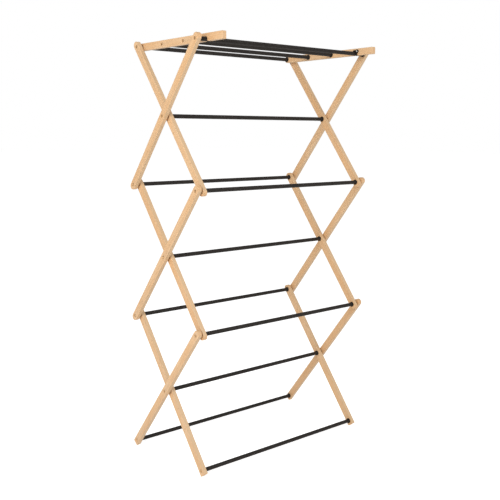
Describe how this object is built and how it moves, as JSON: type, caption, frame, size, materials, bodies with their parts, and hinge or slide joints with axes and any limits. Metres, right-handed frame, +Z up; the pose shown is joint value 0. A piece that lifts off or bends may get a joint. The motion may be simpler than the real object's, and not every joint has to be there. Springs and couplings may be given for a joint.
{
  "type": "clothes drying rack",
  "caption": "Folding accordion clothes drying rack with bamboo slat side frames, black steel hanging rods and a top shelf that hooks over the front rod.",
  "frame": {"origin": "on the floor under the middle of the open rack's bounding box", "axes": "+Z up, X along the hanging rods, -Y to the front, where the shelf arms reach past the front top rod"},
  "size_m": [0.736, 0.4362, 1.3568],
  "materials": {
    "bamboo": "clear satin lacquer on laminated bamboo, grain along each slat",
    "black_steel": "black satin powder coat",
    "black_plastic": "fine matt moulded nylon",
    "screw_steel": "dark zinc plated, hexagon socket"
  },
  "bodies": {
    "rear_foot_rod": {"rear_foot_rod": "black_steel", "rear_foot_end_plugs": "black_plastic", "rear_foot_screws": "screw_steel"},
    "bottom_outer_slats": {"left_bottom_outer_slat": "bamboo", "right_bottom_outer_slat": "bamboo"},
    "bottom_inner_frame": {"left_bottom_inner_slat": "bamboo", "right_bottom_inner_slat": "bamboo", "front_foot_rod": "black_steel", "bottom_cross_rod": "black_steel", "lower_rear_rod": "black_steel", "bottom_frame_end_plugs": "black_plastic", "bottom_frame_screws": "screw_steel", "bottom_frame_spacers": "black_plastic"},
    "middle_outer_slats": {"left_middle_outer_slat": "bamboo", "right_middle_outer_slat": "bamboo"},
    "middle_inner_frame": {"left_middle_inner_slat": "bamboo", "right_middle_inner_slat": "bamboo", "lower_front_rod": "black_steel", "middle_cross_rod": "black_steel", "upper_rear_rod": "black_steel", "middle_frame_end_plugs": "black_plastic", "middle_frame_screws": "screw_steel", "middle_frame_spacers": "black_plastic"},
    "top_outer_frame": {"left_top_outer_slat": "bamboo", "right_top_outer_slat": "bamboo", "front_top_rod": "black_steel", "front_top_end_plugs": "black_plastic", "front_top_screws": "screw_steel"},
    "top_inner_frame": {"left_top_inner_slat": "bamboo", "right_top_inner_slat": "bamboo", "upper_front_rod": "black_steel", "top_cross_rod": "black_steel", "top_frame_end_plugs": "black_plastic", "top_frame_screws": "screw_steel", "top_frame_spacers": "black_plastic"},
    "shelf_pivot": {"shelf_pivot_rod": "black_steel", "shelf_pivot_end_plugs": "black_plastic", "shelf_pivot_screws": "screw_steel", "shelf_pivot_spacers": "black_plastic"},
    "shelf": {"left_shelf_arm": "bamboo", "right_shelf_arm": "bamboo", "shelf_rear_rod": "black_steel", "shelf_front_rod": "black_steel", "shelf_rod_end_plugs": "black_plastic", "shelf_rod_screws": "screw_steel", "shelf_catch_plates": "black_plastic", "catch_plate_screws": "screw_steel"}
  },
  "joints": [
    {"name": "fold", "type": "hinge", "parent": "rear_foot_rod", "child": "bottom_outer_slats", "pos_m": [0, 0.19995, 0.0188], "axis": [-1, 0, 0], "range_deg": [0, 35.2]},
    {"name": "bottom_cross_pivot", "type": "hinge", "parent": "bottom_outer_slats", "child": "bottom_inner_frame", "pos_m": [0, 0.02994, 0.23876], "axis": [1, 0, 0], "range_deg": [0, 70.4]},
    {"name": "lower_front_pivot", "type": "hinge", "parent": "bottom_outer_slats", "child": "middle_inner_frame", "pos_m": [0, -0.14006, 0.45872], "axis": [1, 0, 0], "range_deg": [0, 70.4]},
    {"name": "lower_rear_pivot", "type": "hinge", "parent": "bottom_inner_frame", "child": "middle_outer_slats", "pos_m": [0, 0.19995, 0.45872], "axis": [-1, 0, 0], "range_deg": [0, 70.4]},
    {"name": "upper_front_pivot", "type": "hinge", "parent": "middle_outer_slats", "child": "top_inner_frame", "pos_m": [0, -0.14006, 0.89864], "axis": [1, 0, 0], "range_deg": [0, 70.4]},
    {"name": "upper_rear_pivot", "type": "hinge", "parent": "middle_inner_frame", "child": "top_outer_frame", "pos_m": [0, 0.19995, 0.89864], "axis": [-1, 0, 0], "range_deg": [0, 70.4]},
    {"name": "shelf_swing", "type": "hinge", "parent": "top_inner_frame", "child": "shelf_pivot", "pos_m": [0, 0.19995, 1.33856], "axis": [-1, 0, 0], "range_deg": [0, 123.2]},
    {"name": "shelf_lift", "type": "hinge", "parent": "shelf_pivot", "child": "shelf", "pos_m": [0, 0.19995, 1.33856], "axis": [-1, 0, 0], "range_deg": [0, 110]}
  ],
  "couplings": [
    {"joint": "bottom_cross_pivot", "follows": "fold", "ratio": 2},
    {"joint": "lower_front_pivot", "follows": "fold", "ratio": 2},
    {"joint": "lower_rear_pivot", "follows": "fold", "ratio": 2},
    {"joint": "upper_front_pivot", "follows": "fold", "ratio": 2},
    {"joint": "upper_rear_pivot", "follows": "fold", "ratio": 2},
    {"joint": "shelf_swing", "follows": "fold", "ratio": 3.5}
  ]
}
